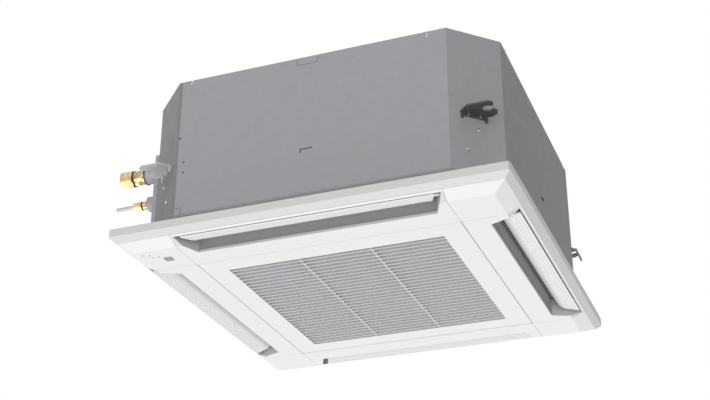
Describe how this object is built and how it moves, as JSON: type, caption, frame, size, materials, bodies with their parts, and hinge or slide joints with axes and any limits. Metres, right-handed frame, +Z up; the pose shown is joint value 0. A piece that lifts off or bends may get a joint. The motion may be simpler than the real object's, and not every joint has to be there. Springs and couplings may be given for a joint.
{
  "type": "ceiling cassette air conditioner",
  "caption": "Square ceiling unit with a slatted intake grille, a guide vane on each side, a casing with cut corners, hanger hooks and flare pipe connections.",
  "frame": {"origin": "centre of the four suspension hooks, at the middle of the hooks' plates", "axes": "+Z up, away from the room; -Y towards the side that the picture shows in front; pipes leave towards -X"},
  "size_m": [0.6835, 0.625, 0.286],
  "materials": {
    "panel_white": "moulded, satin",
    "sheet_grey": "galvanised sheet, matt",
    "bracket_dark": "dark grey coated steel",
    "steel": "zinc plated",
    "brass": "machined",
    "copper": "drawn copper tube",
    "aluminium": "mill finish",
    "foam": "expanded polystyrene",
    "dark_foam": "soft foam",
    "rubber": "moulded rubber",
    "dark_plastic": "moulded",
    "fan_white": "moulded",
    "board": "coated circuit board"
  },
  "bodies": {
    "unit": {"casing_shell": "sheet_grey", "casing_top_plate": "sheet_grey", "casing_screws": "steel", "foam_liner": "foam", "hanger_near_right": "bracket_dark", "hanger_near_left": "sheet_grey", "hanger_far_right": "bracket_dark", "hanger_far_left": "sheet_grey", "hanger_rivets": "steel", "hanger_keeper": "bracket_dark", "pipe_cover": "sheet_grey", "gas_union": "brass", "gas_flare_nut": "brass", "liquid_union": "brass", "liquid_flare_nut": "brass", "liquid_stub_tube": "copper", "drain_socket": "dark_plastic", "coil_fins": "aluminium", "coil_tubes": "copper", "coil_end_plates": "aluminium", "fan_motor": "steel", "motor_mounts": "rubber", "bell_mouth": "dark_plastic", "drain_pan": "foam", "drain_pump": "dark_plastic", "float_guide": "fan_white", "control_box": "sheet_grey", "control_box_lid": "sheet_grey", "panel_seal": "dark_foam", "panel_frame": "panel_white", "corner_cover_near_right": "panel_white", "corner_cover_near_left": "panel_white", "corner_cover_far_right": "panel_white", "corner_cover_far_left": "panel_white", "vane_motors": "dark_plastic", "receiver_window": "panel_white", "indicator_lamps": "dark_plastic", "receiver_board": "board", "panel_screws": "steel"},
    "fan": {"turbo_fan": "fan_white", "fan_nut": "steel", "motor_shaft": "steel"},
    "right_vane": {"vane_right": "panel_white"},
    "far_vane": {"vane_far": "panel_white"},
    "left_vane": {"vane_left": "panel_white"},
    "near_vane": {"vane_near": "panel_white"},
    "grille": {"intake_grille": "panel_white", "air_filter": "dark_plastic"},
    "right_latch": {"grille_latch_right": "dark_plastic"},
    "left_latch": {"grille_latch_left": "dark_plastic"},
    "float": {"level_float": "fan_white"},
    "button": {"manual_button": "panel_white"}
  },
  "joints": [
    {"name": "fan_spin", "type": "hinge", "parent": "unit", "child": "fan", "pos_m": [0, 0, 0.014], "axis": [0, 0, 1], "continuous": true},
    {"name": "right_vane_turn", "type": "hinge", "parent": "unit", "child": "right_vane", "pos_m": [0.2775, 0, -0.12872], "axis": [0, 1, 0], "range_deg": [0, 50]},
    {"name": "far_vane_turn", "type": "hinge", "parent": "unit", "child": "far_vane", "pos_m": [0, 0.2775, -0.12872], "axis": [-1, 0, 0], "range_deg": [0, 50]},
    {"name": "left_vane_turn", "type": "hinge", "parent": "unit", "child": "left_vane", "pos_m": [-0.2775, 0, -0.12872], "axis": [0, -1, 0], "range_deg": [0, 50]},
    {"name": "near_vane_turn", "type": "hinge", "parent": "unit", "child": "near_vane", "pos_m": [0, -0.2775, -0.12872], "axis": [1, 0, 0], "range_deg": [0, 50]},
    {"name": "grille_swing", "type": "hinge", "parent": "unit", "child": "grille", "pos_m": [0, 0.2095, -0.1434], "axis": [1, 0, 0], "range_deg": [0, 90]},
    {"name": "right_latch_slide", "type": "slide", "parent": "grille", "child": "right_latch", "axis": [0, 1, 0], "range_m": [0, 0.0035], "stiffness_N_per_m": 300, "springref_m": -0.004},
    {"name": "left_latch_slide", "type": "slide", "parent": "grille", "child": "left_latch", "axis": [0, 1, 0], "range_m": [0, 0.0035], "stiffness_N_per_m": 300, "springref_m": -0.004},
    {"name": "float_rise", "type": "slide", "parent": "unit", "child": "float", "axis": [0, 0, 1], "range_m": [0, 0.012]},
    {"name": "button_press", "type": "slide", "parent": "unit", "child": "button", "axis": [0, 0, 1], "range_m": [0, 0.001], "stiffness_N_per_m": 400, "springref_m": -0.001}
  ],
  "couplings": [
    {"joint": "far_vane_turn", "follows": "right_vane_turn", "ratio": 1},
    {"joint": "left_vane_turn", "follows": "right_vane_turn", "ratio": 1},
    {"joint": "near_vane_turn", "follows": "right_vane_turn", "ratio": 1}
  ]
}
